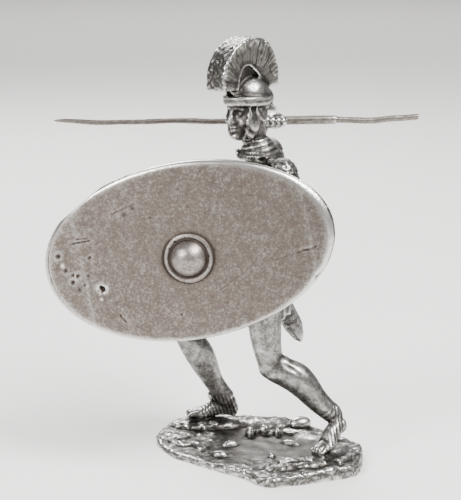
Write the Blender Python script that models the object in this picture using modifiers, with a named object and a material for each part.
# Roman soldier miniature, cast in a grey tin alloy at the 54 mm scale.
#
# A striding legionary on a thin rocky base, with an oval shield held in front by the left
# hand and a slim javelin through the raised right fist. Metres, +Z up. The origin is the
# middle of the base's underside. The soldier strides towards -X, the shield faces -Y.

import math

import bmesh
import bpy
from mathutils import Matrix, Vector, noise

# Driving dimensions of the figure
FIGURE_HEIGHT = 0.0545          # soles to the top of the helmet bowl
BODY_UNIT = FIGURE_HEIGHT / 54.5  # pose and proportions are shares of the height

# Driving dimensions of the base
BASE_LENGTH = 0.0314            # along X
BASE_WIDTH = 0.0268             # along Y
BASE_EDGE_THIN = 0.0006         # edge height at the left tip
BASE_EDGE_THICK = 0.0019        # edge height at the right front
FOOT_LEVEL = 0.0022             # height of the soles over the underside

# Driving dimensions of the shield
SHIELD_LENGTH = 0.0420
SHIELD_WIDTH = 0.0252
SHIELD_THICKNESS = 0.0011
SHIELD_BOW = 0.0012             # how far the two ends bend back
BOSS_DIAMETER = 0.0051
BOSS_HEIGHT = 0.0019
FLANGE_DIAMETER = 0.0069
FLANGE_STEP = 0.00018
BOSS_OFF_ALONG = 0.00025        # boss centre from the shield's centre, along its length
BOSS_OFF_ACROSS = -0.0009       # and across it
SHIELD_YAW = math.radians(9.0)  # turn of the face towards -X
SHIELD_LEAN = math.radians(3.0)  # tilt of the face upwards
SHIELD_ROLL = math.radians(12.0)  # rise of the end by the soldier's body
HAND_GAP = 0.0002               # between the fist and the shield's back

# Driving dimensions of the javelin
JAVELIN_LENGTH = 0.0552
JAVELIN_GRIP_DIAMETER = 0.00136
JAVELIN_SHANK_DIAMETER = 0.00084
JAVELIN_TAIL_DIAMETER = 0.00094
JAVELIN_GRIP_LENGTH = 0.0100
FIST_CLEARANCE = 0.00015        # between the javelin and the bore of the fist

# Fineness of the cast form
VOXEL = FIGURE_HEIGHT / 195.0
KEEP_SHARE = 0.061              # share of the faces kept after the form is fused
UNDERSIDE_TRIM = 0.0007         # how far the base runs below its trimmed underside


def body(x, y, z):
    """A place on the figure, in body units, with z measured up from the soles."""
    return Vector((x, y, z)) * BODY_UNIT + Vector((0.0, 0.0, FOOT_LEVEL))


# Skeleton, in body units
LEFT_HIP = body(0.3, -0.4, 24.0)
LEFT_KNEE = body(1.4, -0.7, 11.7)
LEFT_ANKLE = body(10.9, -0.5, 4.3)
LEFT_HEEL = body(12.0, -0.8, 3.0)
LEFT_BALL = body(9.5, -3.9, 0.9)
LEFT_TOE = body(8.3, -5.3, 0.5)
RIGHT_HIP = body(-0.9, 5.0, 24.0)
RIGHT_KNEE = body(-11.75, 9.4, 14.4)
RIGHT_ANKLE = body(-5.3, 11.4, 2.9)
RIGHT_HEEL = body(-3.9, 11.9, 1.25)
RIGHT_BALL = body(-8.8, 11.2, 0.8)
RIGHT_TOE = body(-10.9, 10.9, 0.6)
LEFT_SHOULDER = body(2.7, -3.0, 41.0)
LEFT_ELBOW = body(-0.3, -4.7, 33.8)
LEFT_WRIST = body(-8.4, -6.3, 30.5)
LEFT_FIST = body(-10.05, -6.9, 30.25)
RIGHT_SHOULDER = body(1.2, 7.4, 42.8)
RIGHT_ELBOW = body(-1.7, 16.2, 40.9)
RIGHT_WRIST = body(0.4, 13.3, 46.2)
RIGHT_FIST = body(2.1, 13.0, 46.58)
NECK_FOOT = body(-0.7, 2.8, 42.6)
NECK_TOP = body(-1.3, 2.6, 48.6)
HEAD = body(-1.9, 2.4, 51.4)

# Directions
CHEST_FRONT = Vector((-0.99, -0.14, 0.0)).normalized()
HEAD_FRONT = Vector((-0.72, -0.69, 0.0)).normalized()
HEAD_LEFT = Vector((0.0, 0.0, 1.0)).cross(HEAD_FRONT)
UP = Vector((0.0, 0.0, 1.0))

# Outline of the base as shares of its half length and half width, seen from above
BASE_OUTLINE = [
    (0.95, -0.24), (0.92, -0.48), (0.83, -0.68), (0.42, -0.89), (0.04, -0.98),
    (-0.16, -0.73), (-0.41, -0.51), (-0.68, -0.25), (-0.88, 0.0), (-1.02, 0.45),
    (-0.97, 0.80), (-0.80, 1.13), (-0.26, 1.21), (0.30, 1.01), (0.78, 0.34),
    (0.95, 0.04),
]

# Crest of the helmet in head units: inner and outer edge, forward and up
CREST_PROFILE = [
    ((3.6, 1.7), (6.8, 1.75)), ((3.3, 3.2), (6.7, 4.0)), ((2.8, 4.2), (5.6, 6.3)),
    ((2.2, 4.8), (3.6, 8.0)), ((1.3, 4.9), (1.0, 8.75)), ((0.2, 4.2), (-1.7, 8.2)),
    ((-0.8, 3.2), (-3.2, 6.4)), ((-1.6, 2.4), (-4.2, 3.6)), ((-2.6, 1.6), (-4.1, 1.5)),
]
CREST_WIDTH_OUTER = 3.8
CREST_WIDTH_INNER = 2.6
CREST_WEB_WIDTH = 1.3


def clear_scene():
    for item in list(bpy.data.objects):
        bpy.data.objects.remove(item, do_unlink=True)


def make_collection(name):
    collection = bpy.data.collections.new(name)
    bpy.context.scene.collection.children.link(collection)
    return collection


def make_material(name, colour, roughness):
    material = bpy.data.materials.new(name)
    material.use_nodes = True
    shader = material.node_tree.nodes["Principled BSDF"]
    shader.inputs["Base Color"].default_value = (*colour, 1.0)
    shader.inputs["Roughness"].default_value = roughness
    shader.inputs["Metallic"].default_value = 1.0
    return material


def add_object(name, shape, collection, material=None):
    """Turn a finished bmesh into a named object with outward normals."""
    bmesh.ops.recalc_face_normals(shape, faces=shape.faces)
    mesh = bpy.data.meshes.new(name)
    shape.to_mesh(mesh)
    shape.free()
    item = bpy.data.objects.new(name, mesh)
    collection.objects.link(item)
    if material is not None:
        mesh.materials.append(material)
    return item


def spline(points, steps, closed=False):
    """Smooth points through a list of vectors, with a fixed number of steps a span."""
    count = len(points)
    spans = count if closed else count - 1
    result = []
    for span in range(spans):
        if closed:
            a, b, c, d = (points[(span + k) % count] for k in (-1, 0, 1, 2))
        else:
            a = points[max(span - 1, 0)]
            b = points[span]
            c = points[span + 1]
            d = points[min(span + 2, count - 1)]
        for step in range(steps):
            t = step / steps
            result.append(0.5 * (2.0 * b + (c - a) * t
                                 + (2.0 * a - 5.0 * b + 4.0 * c - d) * t ** 2
                                 + (3.0 * b - a - 3.0 * c + d) * t ** 3))
    if not closed:
        result.append(points[-1])
    return result


def add_ring(shape, places, cap=False):
    """A closed ring through the given places, made from a circle of as many corners."""
    ring = bmesh.ops.create_circle(shape, cap_ends=cap, radius=1.0, segments=len(places))
    for corner, place in zip(ring["verts"], places):
        corner.co = place
    return list({edge for corner in ring["verts"] for edge in corner.link_edges})


def add_loft(shape, rings):
    """A closed skin over a row of rings that have the same number of corners."""
    last = len(rings) - 1
    previous = None
    for index, places in enumerate(rings):
        edges = add_ring(shape, places, cap=index in (0, last))
        if previous:
            bmesh.ops.bridge_loops(shape, edges=previous + edges)
        previous = edges


def oval(centre, side, front, half_side, half_front, corners=16, ripple=0.0, waves=9):
    """Corners of an oval ring, with an optional ripple for folds."""
    places = []
    for index in range(corners):
        angle = 2.0 * math.pi * index / corners
        swell = 1.0 + ripple * math.cos(waves * angle)
        places.append(centre + side * (half_side * swell * math.cos(angle))
                      + front * (half_front * swell * math.sin(angle)))
    return places


def add_limb(shape, stations, front_hint, corners=14, steps=4):
    """A limb over stations of (place, half width, half depth), widths in body units."""
    places = spline([station[0] for station in stations], steps)
    sizes = spline([Vector(station[1:]) * BODY_UNIT for station in stations], steps)
    rings = []
    for index, place in enumerate(places):
        ahead = places[min(index + 1, len(places) - 1)]
        behind = places[max(index - 1, 0)]
        along = (ahead - behind).normalized()
        side = front_hint.cross(along).normalized()
        front = along.cross(side).normalized()
        rings.append(oval(place, side, front, sizes[index][0], sizes[index][1], corners))
    add_loft(shape, rings)


def add_ball(shape, centre, radii, turn=None, units=BODY_UNIT):
    """An ellipsoid, with radii in body units and an optional turn."""
    matrix = Matrix.Translation(centre)
    if turn is not None:
        matrix = matrix @ turn.to_4x4()
    matrix = matrix @ Matrix.Diagonal((*(Vector(radii) * units), 1.0))
    bmesh.ops.create_uvsphere(shape, u_segments=16, v_segments=10, radius=1.0, matrix=matrix)


def frame_of(front, up=UP):
    """A turn whose X axis points forward, Y axis to the left and Z axis up."""
    left = up.cross(front).normalized()
    top = front.cross(left).normalized()
    return Matrix((front, left, top)).transposed()


def head_place(forward, left, rise):
    """A place in the head's own frame, in body units from the middle of the brow."""
    return HEAD + (HEAD_FRONT * forward + HEAD_LEFT * left + UP * rise) * BODY_UNIT


# The rocky base
def edge_height(x_share, y_share):
    """The base is a thin wedge: low at the left tip, thick at the right front."""
    along = (x_share + 1.0) / 2.0
    towards = (1.0 - y_share) / 2.0
    mix = min(max(0.55 * along + 0.45 * towards * along * 1.6, 0.0), 1.0)
    return BASE_EDGE_THIN + (BASE_EDGE_THICK - BASE_EDGE_THIN) * mix


def rock_rise(x, y):
    """Small steady unevenness of the cast ground, in metres."""
    near = Vector((x, y, 0.0)) * 420.0
    far = Vector((x, y, 3.0)) * 1100.0
    return 0.00028 * noise.noise(near) + 0.00014 * noise.noise(far)


def add_base(shape):
    outline = spline([Vector((x, y)) for x, y in BASE_OUTLINE], 4, closed=True)
    half = Vector((BASE_LENGTH / 2.0, BASE_WIDTH / 2.0))
    rings = []
    # each level is (share of the outline, share of the local edge height)
    levels = [(0.985, None), (0.995, 0.0), (1.0, 0.45), (0.985, 0.85), (0.95, 1.0),
              (0.85, 1.02), (0.7, 1.0), (0.5, 1.0), (0.3, 1.0), (0.1, 1.0)]
    for share, level in levels:
        ring = []
        for point in outline:
            rough = 1.0 + 0.012 * noise.noise(Vector((point.x, point.y, 0.0)) * 9.0)
            x = point.x * half.x * share * rough
            y = point.y * half.y * share * rough
            if level is None:
                z = -UNDERSIDE_TRIM
            else:
                z = edge_height(point.x * share, point.y * share) * level
            if level and share < 1.0:
                z += rock_rise(x, y)
            ring.append(Vector((x, y, z)))
        rings.append(ring)
    add_loft(shape, rings)


def add_ground_relief(shape):
    """Mounds under the feet, loose stones and ridges, in body units from the middle."""
    mounds = [
        # x, y, height, half length, half width, turn
        (-7.6, 11.2, 2.1, 5.2, 2.2, -6.0), (8.9, -4.9, 2.15, 2.9, 2.2, 40.0),
        (11.6, -2.4, 1.9, 2.4, 1.8, 50.0), (1.2, 11.0, 2.1, 5.6, 2.4, -4.0),
        (-12.5, 6.5, 1.3, 3.0, 2.2, 30.0), (8.5, 3.6, 2.1, 4.4, 2.6, -35.0),
        (11.5, -6.6, 2.1, 3.0, 1.2, 25.0), (4.0, -9.6, 2.0, 3.4, 1.0, 12.0),
    ]
    stones = [
        (-1.6, 5.4, 2.5, 1.1, 1.2, 20.0), (0.7, 6.2, 2.6, 1.0, 1.2, 60.0),
        (2.6, 5.2, 2.4, 0.9, 0.8, 0.0), (5.8, 8.4, 3.2, 1.7, 1.3, 12.0),
        (-6.2, -2.9, 1.9, 1.4, 0.9, -20.0), (1.4, -4.4, 2.0, 0.5, 0.5, 0.0),
        (-9.6, 1.4, 1.5, 1.6, 0.7, -35.0), (-4.6, 1.2, 1.9, 1.5, 0.6, 15.0),
        (4.4, 0.9, 2.1, 1.9, 0.7, -25.0), (-12.2, 2.6, 1.3, 1.3, 0.6, -50.0),
    ]
    for x, y, top, length, width, turn in mounds + stones:
        depth = min(top - 0.6, 1.15)
        centre = Vector((x, y, top - depth)) * BODY_UNIT
        spin = Matrix.Rotation(math.radians(turn), 3, "Z")
        add_ball(shape, centre, (length, width, depth), spin)


# The legs
def add_foot(shape, heel, ball, toe, ankle, width):
    """A sandalled foot: heel, instep, ball and toes, with the ankle let into it."""
    lift = UP * 0.25 * BODY_UNIT
    arch = heel.lerp(ball, 0.5) + (ankle - heel) * 0.28
    add_limb(shape, [(heel - (ball - heel) * 0.06, 0.75, 0.75), (heel, 1.05, 1.2),
                     (arch, 1.1 * width, 1.25), (ball, 1.4 * width, 0.95),
                     (toe, 1.15 * width, 0.65),
                     (toe + (toe - ball) * 0.25 + lift * 0.2, 0.6, 0.4)], UP)
    add_ball(shape, ankle, (1.25, 1.2, 1.3))
    add_limb(shape, [(ankle, 1.2, 1.2), (heel.lerp(ball, 0.42) + lift, 1.0, 0.9),
                     (ball + lift, 1.1, 0.5)], UP)


def add_legs(shape):
    shin_left = LEFT_KNEE.lerp(LEFT_ANKLE, 0.32) + Vector((0.75, 0.0, 0.75)) * BODY_UNIT
    low_left = LEFT_KNEE.lerp(LEFT_ANKLE, 0.72) + Vector((0.15, 0.0, 0.15)) * BODY_UNIT
    mid_left = LEFT_HIP.lerp(LEFT_KNEE, 0.55) + Vector((-0.4, 0.0, 0.0)) * BODY_UNIT
    add_limb(shape, [(LEFT_HIP, 2.7, 2.8), (mid_left, 2.35, 2.4), (LEFT_KNEE, 1.75, 1.75)],
             Vector((-1.0, 0.0, 0.0)))
    add_limb(shape, [(LEFT_KNEE, 1.8, 1.9), (shin_left, 2.1, 2.35), (low_left, 1.6, 1.75),
                     (LEFT_ANKLE, 1.3, 1.45)], Vector((-1.0, 0.0, -1.0)))
    add_ball(shape, LEFT_KNEE + Vector((-0.25, 0.0, 0.1)) * BODY_UNIT, (1.6, 1.55, 1.8))
    add_ball(shape, LEFT_KNEE + Vector((1.5, 0.0, 0.4)) * BODY_UNIT, (1.7, 1.6, 1.6))
    shin_right = RIGHT_KNEE.lerp(RIGHT_ANKLE, 0.33) + Vector((0.15, 0.2, 0.1)) * BODY_UNIT
    low_right = RIGHT_KNEE.lerp(RIGHT_ANKLE, 0.72) + Vector((-0.2, 0.0, 0.0)) * BODY_UNIT
    mid_right = RIGHT_HIP.lerp(RIGHT_KNEE, 0.55) + Vector((0.0, 0.0, 0.2)) * BODY_UNIT
    add_limb(shape, [(RIGHT_HIP, 2.6, 2.8), (mid_right, 2.3, 2.4), (RIGHT_KNEE, 1.8, 1.8)],
             Vector((-0.5, 0.0, 1.0)))
    add_limb(shape, [(RIGHT_KNEE, 1.75, 1.8), (shin_right, 2.1, 2.3),
                     (low_right, 1.5, 1.6), (RIGHT_ANKLE, 1.45, 1.5)],
             Vector((-1.0, 0.0, 0.5)))
    add_ball(shape, RIGHT_KNEE + Vector((-0.3, 0.0, 0.2)) * BODY_UNIT, (1.7, 1.6, 1.8))
    add_foot(shape, LEFT_HEEL, LEFT_BALL, LEFT_TOE, LEFT_ANKLE, 1.0)
    add_foot(shape, RIGHT_HEEL, RIGHT_BALL, RIGHT_TOE, RIGHT_ANKLE, 1.0)
    tendon = RIGHT_ANKLE + Vector((0.8, 0.3, -0.8)) * BODY_UNIT
    instep = RIGHT_ANKLE + Vector((-1.75, 0.0, 0.5)) * BODY_UNIT
    add_ball(shape, tendon, (0.95, 1.0, 1.2))
    add_ball(shape, instep, (1.2, 1.1, 1.0))


# The trunk, the mail shirt and the skirt
def add_trunk(shape):
    side = UP.cross(CHEST_FRONT)
    levels = [
        # x, y, height over the soles, half depth, half width
        (-0.1, 2.3, 21.5, 2.9, 3.8), (-0.1, 2.3, 25.0, 3.2, 4.0), (0.2, 2.2, 29.0, 2.8, 3.6),
        (0.6, 2.1, 33.0, 3.2, 4.3), (0.9, 2.1, 37.0, 3.7, 4.9), (0.9, 2.2, 40.3, 3.5, 4.9),
        (0.4, 2.4, 42.7, 2.7, 3.6), (-0.3, 2.7, 44.2, 1.9, 2.3),
    ]
    rings = []
    for x, y, rise, depth, width in levels:
        rings.append(oval(body(x, y, rise), side, CHEST_FRONT, width * BODY_UNIT,
                          depth * BODY_UNIT, 24))
    add_loft(shape, rings)
    add_ball(shape, LEFT_SHOULDER, (2.35, 2.2, 2.5))
    add_ball(shape, RIGHT_SHOULDER, (2.0, 2.2, 2.0))
    add_limb(shape, [(NECK_FOOT, 2.1, 2.1), (NECK_FOOT.lerp(NECK_TOP, 0.4), 1.6, 1.65),
                     (NECK_TOP, 1.55, 1.7)], HEAD_FRONT)


def add_skirt(shape):
    side = UP.cross(CHEST_FRONT)
    levels = [
        (-0.1, 2.3, 29.4, 3.0, 3.8, 0.0), (-0.1, 2.3, 27.6, 3.5, 4.2, 0.01),
        (-0.2, 2.3, 24.0, 3.9, 4.6, 0.03), (-0.3, 2.3, 20.4, 4.2, 4.9, 0.06),
        (-0.3, 2.3, 19.2, 4.25, 4.95, 0.07),
    ]
    rings = []
    for x, y, rise, depth, width, ripple in levels:
        rings.append(oval(body(x, y, rise), side, CHEST_FRONT, width * BODY_UNIT,
                          depth * BODY_UNIT, 54, ripple))
    add_loft(shape, rings)
    # the cloth rides up over the thigh that strides out
    over = RIGHT_HIP.lerp(RIGHT_KNEE, 0.28)
    end = RIGHT_HIP.lerp(RIGHT_KNEE, 0.5)
    add_limb(shape, [(RIGHT_HIP, 3.3, 3.3), (over, 3.2, 3.3), (end, 2.9, 2.9)],
             Vector((-0.5, 0.0, 1.0)), corners=20)
    # belt
    belt = [(29.9, 3.1, 3.85), (29.4, 3.3, 4.05), (28.5, 3.35, 4.1), (28.0, 3.2, 3.95)]
    add_loft(shape, [oval(body(0.1, 2.2, rise), side, CHEST_FRONT, width * BODY_UNIT,
                          depth * BODY_UNIT, 24) for rise, depth, width in belt])


def add_collar(shape):
    """Scarf round the neck and the doubled mail over the shoulders."""
    for rise, x, y, size in ((43.9, -0.7, 2.7, 2.15), (44.6, -0.9, 2.7, 1.9)):
        centre = body(x, y, rise)
        tilt = Matrix.Rotation(math.radians(-8.0), 3, "Y")
        bead = 0.42 * BODY_UNIT
        places = oval(centre, tilt @ Vector((1.0, 0.0, 0.0)), Vector((0.0, 1.0, 0.0)),
                      size * BODY_UNIT, size * BODY_UNIT, 12)
        for index, place in enumerate(places):
            following = places[(index + 1) % len(places)]
            add_ball(shape, place.lerp(following, 0.5), (0.75, 0.75, 0.42))
            add_ball(shape, place, (0.7, 0.7, bead / BODY_UNIT))
    flap = frame_of(CHEST_FRONT)
    add_ball(shape, body(1.1, -1.4, 41.2), (2.9, 2.4, 1.9), flap)
    add_ball(shape, body(0.9, 5.9, 42.2), (2.5, 2.3, 1.6), flap)


def add_scabbard(shape):
    """Short sword at the right hip, seen behind the left thigh."""
    top = body(-1.0, 7.3, 28.0)
    tip = body(6.2, 6.0, 13.7)
    mouth = top.lerp(tip, 0.02)
    along = (tip - top).normalized()
    broad = along.cross(Vector((0.0, 1.0, 0.0))).normalized()
    thick = along.cross(broad).normalized()
    stations = [(0.0, 1.3, 0.5), (0.2, 1.3, 0.5), (0.7, 1.5, 0.5), (0.82, 1.5, 0.5),
                (0.94, 0.85, 0.42), (1.0, 0.2, 0.25)]
    rings = []
    for share, width, depth in stations:
        rings.append(oval(mouth.lerp(tip, share), broad, thick, width * BODY_UNIT,
                          depth * BODY_UNIT, 12))
    add_loft(shape, rings)
    hilt = top - along * 3.9 * BODY_UNIT
    add_limb(shape, [(top + along * 0.2 * BODY_UNIT, 0.62, 0.55), (hilt, 0.55, 0.5)],
             Vector((0.0, 1.0, 0.0)))
    add_ball(shape, top - along * 0.3 * BODY_UNIT, (1.15, 0.7, 0.5))
    add_ball(shape, hilt, (0.95, 0.85, 0.9))


# The arms
def add_fist(shape, centre, across, out, size):
    """A closed hand: a palm and four curled fingers in a row along the gripped rod."""
    add_ball(shape, centre, (size * 1.15, size * 0.95, size * 1.05), frame_of(across, out))
    for index in range(4):
        shift = (index - 1.5) * 0.62 * size * BODY_UNIT
        knuckle = centre + across * shift + out * 0.55 * size * BODY_UNIT
        add_ball(shape, knuckle, (0.36 * size, 0.62 * size, 0.72 * size),
                 frame_of(across, out))


def add_arms(shape):
    low = UP.cross(CHEST_FRONT)
    add_limb(shape, [(LEFT_SHOULDER, 2.0, 2.1), (LEFT_SHOULDER.lerp(LEFT_ELBOW, 0.5), 1.6, 1.7),
                     (LEFT_ELBOW, 1.3, 1.35)], CHEST_FRONT)
    add_limb(shape, [(LEFT_ELBOW, 1.3, 1.35), (LEFT_ELBOW.lerp(LEFT_WRIST, 0.35), 1.4, 1.4),
                     (LEFT_WRIST, 0.95, 0.9)], UP)
    add_ball(shape, LEFT_ELBOW, (1.35, 1.35, 1.35))
    add_ball(shape, LEFT_FIST, (1.45, 1.05, 1.5))
    add_limb(shape, [(LEFT_WRIST, 0.95, 0.95), (LEFT_FIST, 1.1, 1.2)], UP)
    # short sleeves
    sleeve = LEFT_SHOULDER.lerp(LEFT_ELBOW, 0.52)
    add_limb(shape, [(LEFT_SHOULDER, 2.3, 2.3), (sleeve, 2.05, 2.1)], CHEST_FRONT)
    sleeve = RIGHT_SHOULDER.lerp(RIGHT_ELBOW, 0.42)
    add_limb(shape, [(RIGHT_SHOULDER, 1.95, 1.95), (sleeve, 1.75, 1.8)], CHEST_FRONT)
    add_limb(shape, [(RIGHT_SHOULDER, 1.8, 1.8),
                     (RIGHT_SHOULDER.lerp(RIGHT_ELBOW, 0.55), 1.45, 1.5),
                     (RIGHT_ELBOW, 1.2, 1.25)], CHEST_FRONT)
    add_limb(shape, [(RIGHT_ELBOW, 1.2, 1.25), (RIGHT_ELBOW.lerp(RIGHT_WRIST, 0.4), 1.3, 1.3),
                     (RIGHT_WRIST, 0.95, 0.9)], low)
    add_ball(shape, RIGHT_ELBOW, (1.25, 1.25, 1.25))
    add_fist(shape, RIGHT_FIST, Vector((1.0, 0.0, 0.0)), Vector((0.0, -1.0, 0.1)), 1.45)
    add_ball(shape, RIGHT_WRIST.lerp(RIGHT_FIST, 0.4), (1.1, 1.0, 1.0))


# The head, the helmet and the crest
def add_head(shape):
    levels = [
        # height, forward shift, half depth, half width
        (0.4, 0.3, 2.9, 2.4), (-1.3, 0.6, 2.85, 2.35), (-3.0, 0.7, 2.8, 2.25),
        (-4.6, 1.0, 2.35, 1.85), (-5.6, 1.5, 1.7, 1.35), (-6.2, 2.0, 0.9, 0.8),
    ]
    rings = []
    for rise, shift, depth, width in levels:
        rings.append(oval(head_place(shift, 0.0, rise), HEAD_LEFT, HEAD_FRONT,
                          width * BODY_UNIT, depth * BODY_UNIT, 20))
    add_loft(shape, rings)
    turn = frame_of(HEAD_FRONT)
    # nose, lips and chin, calm and plain
    add_limb(shape, [(head_place(3.2, 0.0, -1.6), 0.35, 0.35),
                     (head_place(3.75, 0.0, -2.7), 0.42, 0.5),
                     (head_place(3.7, 0.0, -3.3), 0.6, 0.5)], HEAD_FRONT, corners=10)
    add_ball(shape, head_place(3.15, 0.0, -4.35), (0.45, 0.85, 0.5), turn)
    add_ball(shape, head_place(2.7, 0.0, -5.5), (0.75, 0.85, 0.6), turn)
    for side in (1.0, -1.0):
        add_ball(shape, head_place(2.2, side * 1.35, -3.6), (0.9, 0.7, 0.8), turn)


def add_helmet(shape):
    rings = []
    # bowl from the band up
    for step in range(7):
        angle = math.radians(step * 14.5)
        rings.append(oval(head_place(-0.05, 0.0, 0.4 + 2.8 * math.sin(angle)), HEAD_LEFT, HEAD_FRONT,
                          2.85 * math.cos(angle) * BODY_UNIT,
                          3.25 * math.cos(angle) * BODY_UNIT, 24))
    rings.insert(0, [place - UP * 0.9 * BODY_UNIT for place in rings[0]])
    add_loft(shape, rings)
    # brow band, longer over the forehead
    band = [(0.5, 3.5, 2.9), (0.35, 3.8, 3.1), (-0.6, 3.9, 3.15), (-0.9, 3.7, 2.95)]
    add_loft(shape, [oval(head_place(0.35, 0.0, rise), HEAD_LEFT, HEAD_FRONT,
                          width * BODY_UNIT, depth * BODY_UNIT, 24)
                     for rise, depth, width in band])
    turn = frame_of(HEAD_FRONT)
    flare = turn @ Matrix.Rotation(math.radians(-28.0), 3, "Y")
    add_ball(shape, head_place(-3.0, 0.0, -1.5), (1.9, 2.4, 0.45), flare)
    add_ball(shape, head_place(-2.0, 0.0, -0.2), (2.0, 2.3, 1.9), turn)
    for side in (1.0, -1.0):
        splay = turn @ Matrix.Rotation(math.radians(8.0) * side, 3, "X")
        add_ball(shape, head_place(1.2, side * 2.25, -2.8), (1.35, 0.42, 2.0), splay)
        add_ball(shape, head_place(1.35, side * 1.85, -4.3), (1.15, 0.42, 1.3), splay)
        add_ball(shape, head_place(0.0, side * 2.4, -2.2), (1.2, 0.5, 1.3), splay)
        add_ball(shape, head_place(2.6, side * 1.9, 1.1), (0.55, 0.5, 0.6), turn)


def add_crest(shape):
    """A thick fan of horsehair over a narrow web that joins it to the bowl."""
    inner = spline([Vector(pair[0]) for pair in CREST_PROFILE], 3)
    outer = spline([Vector(pair[1]) for pair in CREST_PROFILE], 3)
    rings = []
    web = []
    for low, high in zip(inner, outer):
        ring = []
        edge = high.lerp(low, 0.06)
        corners = [(low, CREST_WIDTH_INNER / 2.0), (edge, CREST_WIDTH_OUTER / 2.0),
                   (high, CREST_WIDTH_OUTER / 2.0 - 0.35), (high, 0.0),
                   (high, 0.35 - CREST_WIDTH_OUTER / 2.0), (edge, -CREST_WIDTH_OUTER / 2.0),
                   (low, -CREST_WIDTH_INNER / 2.0), (low, 0.0)]
        for place, left in corners:
            ring.append(head_place(place.x, left, place.y))
        rings.append(ring)
        foot = Vector((low.x * 0.8, 0.8))
        half = CREST_WEB_WIDTH / 2.0
        middle = low.lerp(high, 0.3)
        web.append([head_place(middle.x, half, middle.y), head_place(middle.x, -half, middle.y),
                    head_place(foot.x, -half, foot.y), head_place(foot.x, half, foot.y)])
    add_loft(shape, rings)
    add_loft(shape, web)


def add_modifiers(item, trims):
    """Fuse the overlapping forms into one skin, ease it, thin it out and trim it."""
    fuse = item.modifiers.new("fuse", "REMESH")
    fuse.mode = "VOXEL"
    fuse.voxel_size = VOXEL
    ease = item.modifiers.new("ease", "SMOOTH")
    ease.factor = 0.5
    ease.iterations = 2
    thin = item.modifiers.new("thin", "DECIMATE")
    thin.ratio = KEEP_SHARE
    thin.use_collapse_triangulate = True
    for trim in trims:
        cut = item.modifiers.new(trim.name, "BOOLEAN")
        cut.operation = "DIFFERENCE"
        cut.solver = "EXACT"
        cut.object = trim


def make_soldier(collection, trims):
    shape = bmesh.new()
    add_base(shape)
    add_ground_relief(shape)
    add_legs(shape)
    add_trunk(shape)
    add_skirt(shape)
    add_collar(shape)
    add_scabbard(shape)
    add_arms(shape)
    add_head(shape)
    add_helmet(shape)
    add_crest(shape)
    pewter = make_material("cast_tin_figure", (0.46, 0.44, 0.42), 0.42)
    soldier = add_object("soldier_with_base", shape, collection, pewter)
    add_modifiers(soldier, trims)
    return soldier


# The shield
def shield_axes():
    """Long axis, short axis and outward normal of the shield."""
    turn = (Matrix.Rotation(-SHIELD_YAW, 3, "Z") @ Matrix.Rotation(-SHIELD_LEAN, 3, "X")
            @ Matrix.Rotation(-SHIELD_ROLL, 3, "Y"))
    return (turn @ Vector((1.0, 0.0, 0.0)), turn @ Vector((0.0, 0.0, 1.0)),
            turn @ Vector((0.0, -1.0, 0.0)))


def make_shield(collection):
    along, across, out = shield_axes()
    fist_front = LEFT_FIST + out * 1.25 * BODY_UNIT
    boss_back = fist_front + out * HAND_GAP
    centre = (boss_back + out * SHIELD_THICKNESS / 2.0
              - along * BOSS_OFF_ALONG - across * BOSS_OFF_ACROSS)
    corners = 44
    half_length = SHIELD_LENGTH / 2.0
    half_width = SHIELD_WIDTH / 2.0
    boss = Vector((BOSS_OFF_ALONG, BOSS_OFF_ACROSS))
    half_thick = SHIELD_THICKNESS / 2.0

    def surface(angle, share, radius, height):
        """A place between a circle round the boss (share 0) and the rim (share 1)."""
        direction = Vector((math.cos(angle), math.sin(angle)))
        rim = Vector((half_length * direction.x, half_width * direction.y))
        flat = (boss + direction * radius).lerp(rim, share)
        bow = SHIELD_BOW * (flat.x / half_length) ** 2
        return centre + along * flat.x + across * flat.y + out * (height - bow)

    flange = FLANGE_DIAMETER / 2.0
    dome = BOSS_DIAMETER / 2.0
    profile = []
    # back face from the middle outwards, then the rounded rim, then the front face inwards
    for share in (0.0, 0.35, 0.7, 0.97):
        profile.append((share, 0.0006 if share == 0.0 else flange, -half_thick))
    profile.append((0.995, flange, -half_thick * 0.4))
    profile.append((0.995, flange, half_thick * 0.5))
    for share in (0.965, 0.7, 0.35, 0.03):
        profile.append((share, flange, half_thick))
    profile.append((0.0, flange, half_thick + FLANGE_STEP))
    profile.append((0.0, dome * 1.08, half_thick + FLANGE_STEP))
    for step in range(1, 6):
        angle = math.radians(step * 16.5)
        profile.append((0.0, dome * math.cos(angle),
                        half_thick + FLANGE_STEP + BOSS_HEIGHT * math.sin(angle)))
    shape = bmesh.new()
    rings = []
    for share, radius, height in profile:
        rings.append([surface(2.0 * math.pi * index / corners, share, radius, height)
                      for index in range(corners)])
    add_loft(shape, rings)
    material = make_material("cast_tin_shield", (0.36, 0.33, 0.30), 0.38)
    return add_object("shield", shape, collection, material)


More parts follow.
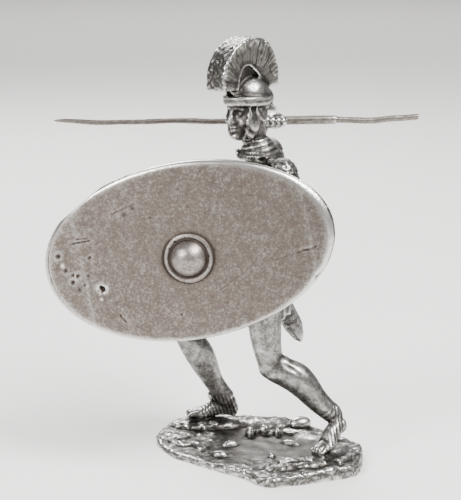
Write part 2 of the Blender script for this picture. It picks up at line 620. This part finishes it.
# The javelin
def javelin_stations():
    """Places and radii along the javelin, from the point to the butt."""
    grip = RIGHT_FIST.copy()
    front = grip.x - (JAVELIN_LENGTH * 0.606)
    back = front + JAVELIN_LENGTH
    grip_end = grip.x + JAVELIN_GRIP_LENGTH * 0.88
    grip_start = grip_end - JAVELIN_GRIP_LENGTH
    shank = JAVELIN_SHANK_DIAMETER / 2.0
    thick = JAVELIN_GRIP_DIAMETER / 2.0
    tail = JAVELIN_TAIL_DIAMETER / 2.0
    step = 0.0003
    wave = 0.00014
    return [
        (front, 0.0, shank * 0.25), (front + 0.0016, 0.0, shank * 0.72),
        (front + 0.0065, -wave * 2.0, shank), (front + 0.0145, -wave, shank * 1.02),
        (front + 0.0180, 0.0, shank * 1.04), (front + 0.0240, -wave, shank * 1.1),
        (grip_start - step, 0.0, shank * 1.15), (grip_start, 0.0, thick),
        (grip_end, wave, thick), (grip_end + step, wave, tail),
        (grip_end + 0.0060, 0.0, tail), (grip_end + 0.0085, wave * 2.0, tail),
        (back - 0.0002, wave * 4.0, tail), (back, wave * 4.0, tail * 0.8),
    ], grip


def make_javelin(collection):
    stations, grip = javelin_stations()
    curve = bpy.data.curves.new("javelin", "CURVE")
    curve.dimensions = "3D"
    curve.bevel_depth = 1.0
    curve.bevel_resolution = 3
    curve.use_fill_caps = True
    line = curve.splines.new("POLY")
    line.points.add(len(stations) - 1)
    for point, (x, rise, radius) in zip(line.points, stations):
        point.co = (x, grip.y, grip.z + rise, 1.0)
        point.radius = radius
    item = bpy.data.objects.new("javelin", curve)
    collection.objects.link(item)
    curve.materials.append(make_material("cast_tin_javelin", (0.42, 0.38, 0.35), 0.45))
    return item


def make_cutters(collection):
    """The trim under the base and the bore through the right fist."""
    collection.hide_render = True
    floor = bmesh.new()
    size = max(BASE_LENGTH, BASE_WIDTH) * 1.5
    bmesh.ops.create_cube(floor, size=1.0)
    bmesh.ops.scale(floor, vec=(size, size, 0.01), verts=floor.verts)
    bmesh.ops.translate(floor, vec=(0.0, 0.0, -0.005), verts=floor.verts)
    trim = add_object("underside_trim", floor, collection)
    bore = bmesh.new()
    radius = JAVELIN_GRIP_DIAMETER / 2.0 + FIST_CLEARANCE
    length = 7.0 * BODY_UNIT
    bmesh.ops.create_cone(bore, cap_ends=True, segments=20, radius1=radius, radius2=radius,
                          depth=length)
    place = Matrix.Translation(RIGHT_FIST) @ Matrix.Rotation(math.pi / 2.0, 4, "Y")
    bmesh.ops.transform(bore, matrix=place, verts=bore.verts)
    hole = add_object("fist_bore", bore, collection)
    for cutter in (trim, hole):
        cutter.display_type = "WIRE"
        cutter.hide_render = True
    return [trim, hole]


def main():
    clear_scene()
    pieces = make_collection("roman_soldier_miniature")
    cutters = make_collection("cutters")
    trims = make_cutters(cutters)
    make_soldier(pieces, trims)
    make_shield(pieces)
    make_javelin(pieces)


main()
